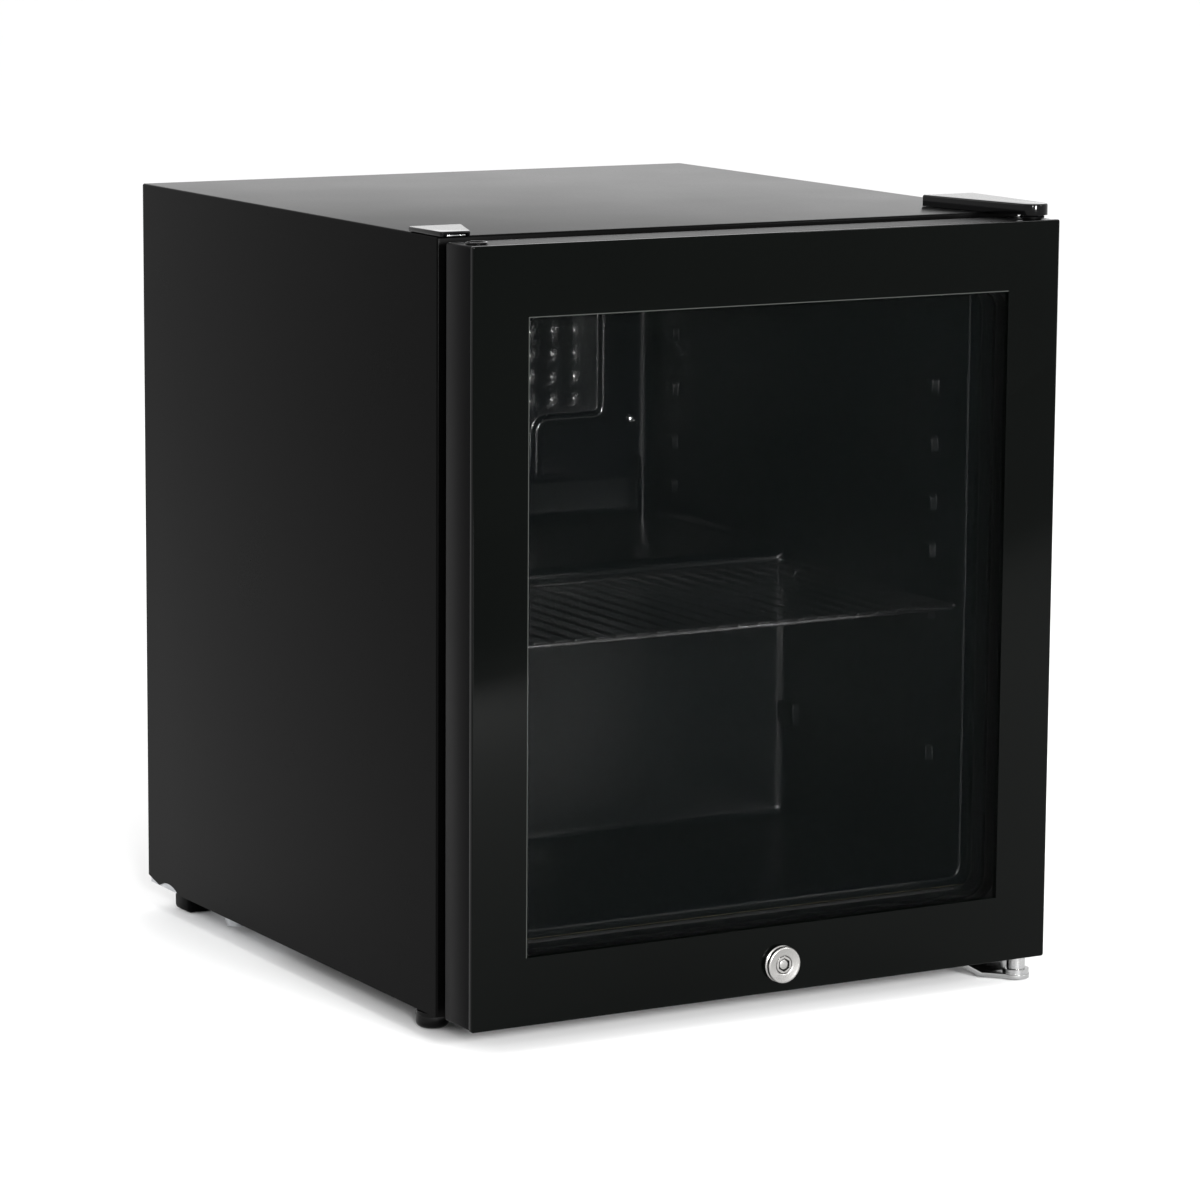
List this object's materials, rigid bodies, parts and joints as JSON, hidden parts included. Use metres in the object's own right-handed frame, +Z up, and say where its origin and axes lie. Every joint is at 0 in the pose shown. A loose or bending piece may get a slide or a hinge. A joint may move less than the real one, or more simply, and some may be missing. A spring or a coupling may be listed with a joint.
{
  "type": "drinks fridge",
  "caption": "Counter-top drinks fridge with a hinged smoked-glass door, keyed lock, wire shelf, plate evaporator and a compressor compartment at the lower back.",
  "frame": {"origin": "on the floor under the middle of the fridge's overall box", "axes": "+X to the right as seen from the front, +Y to the back, +Z up"},
  "size_m": [0.43, 0.5016, 0.5157],
  "materials": {
    "black_steel": "satin black paint on folded sheet steel",
    "galvanised": "plain zinc-coated sheet steel",
    "black_liner": "vacuum-formed black plastic, soft sheen",
    "foam": "rigid insulating foam, matt",
    "black_plastic": "moulded black plastic",
    "gloss_black": "moulded black plastic, polished",
    "door_glass": "smoked glass, the border blacked out from behind",
    "seal_rubber": "soft black magnetic seal",
    "satin_nickel": "satin nickel plating",
    "zinc": "bright zinc plating",
    "black_wire": "black coated steel wire",
    "evaporator_black": "black coated aluminium plate",
    "compressor_black": "black enamelled steel shell",
    "copper": "plain copper tube",
    "grey_rubber": "dark grey rubber",
    "white_plastic": "moulded white plastic"
  },
  "bodies": {
    "cabinet": {"bottom_panel": "galvanised", "cabinet_shell": "black_steel", "cable_gland": "black_plastic", "capillary_tube": "copper", "compartment_wall": "galvanised", "compressor": "compressor_black", "compressor_tray": "galvanised", "condenser_clip_lower_left": "black_plastic", "condenser_clip_lower_right": "black_plastic", "condenser_clip_upper_left": "black_plastic", "condenser_clip_upper_right": "black_plastic", "condenser_coil": "black_wire", "condenser_outlet_tube": "copper", "discharge_tube": "copper", "drain_tube": "white_plastic", "drip_tray": "white_plastic", "evaporator_plate": "evaporator_black", "evaporator_screw_left": "zinc", "evaporator_screw_right": "zinc", "filter_drier": "copper", "foam_insulation": "foam", "foot_rear_left": "black_plastic", "foot_rear_right": "black_plastic", "grommet_left_front": "grey_rubber", "grommet_left_rear": "grey_rubber", "grommet_right_front": "grey_rubber", "grommet_right_rear": "grey_rubber", "hinge_cover": "gloss_black", "inner_liner": "black_liner", "lower_hinge_bracket": "zinc", "lower_hinge_screw_left": "zinc", "lower_hinge_screw_right": "zinc", "rear_panel": "black_steel", "relay_cover": "black_plastic", "sensor_tube": "evaporator_black", "spare_hinge_cap": "gloss_black", "spare_hinge_clip": "zinc", "strike_box": "black_plastic", "suction_tube": "copper", "thermostat_box": "black_plastic", "top_hinge_bracket": "black_steel", "top_hinge_screw_left": "zinc", "top_hinge_screw_right": "zinc"},
    "door": {"door_glass_outer": "door_glass", "door_glass_inner": "door_glass", "door_frame": "black_plastic", "door_bezel": "black_plastic", "door_gasket": "seal_rubber", "door_bush_top": "black_plastic", "door_bush_bottom": "black_plastic", "door_plug_top": "gloss_black", "door_plug_bottom": "gloss_black", "lock_barrel": "satin_nickel", "lock_nut": "zinc"},
    "lock": {"lock_plug": "satin_nickel", "lock_cam": "zinc"},
    "shelf": {"wire_shelf": "black_wire"},
    "foot_left": {"foot_front_left": "black_plastic"},
    "foot_right": {"foot_front_right": "black_plastic"},
    "knob": {"thermostat_knob": "white_plastic"}
  },
  "joints": [
    {"name": "door_hinge", "type": "hinge", "parent": "cabinet", "child": "door", "pos_m": [0.2045, -0.22875, 0], "axis": [0, 0, 1], "range_deg": [0, 120]},
    {"name": "lock_turn", "type": "hinge", "parent": "door", "child": "lock", "pos_m": [0.01, -0.24525, 0.036], "axis": [0, 1, 0], "range_deg": [0, 90]},
    {"name": "shelf_slide", "type": "slide", "parent": "cabinet", "child": "shelf", "axis": [0, -1, 0], "range_m": [0, 0.012]},
    {"name": "control_turn", "type": "hinge", "parent": "cabinet", "child": "knob", "pos_m": [0.135, 0.23075, 0.188], "axis": [0, 1, 0], "range_deg": [0, 270]},
    {"name": "foot_left_height", "type": "slide", "parent": "cabinet", "child": "foot_left", "axis": [0, 0, -1], "range_m": [0, 0.008]},
    {"name": "foot_right_height", "type": "slide", "parent": "cabinet", "child": "foot_right", "axis": [0, 0, -1], "range_m": [0, 0.008]}
  ]
}
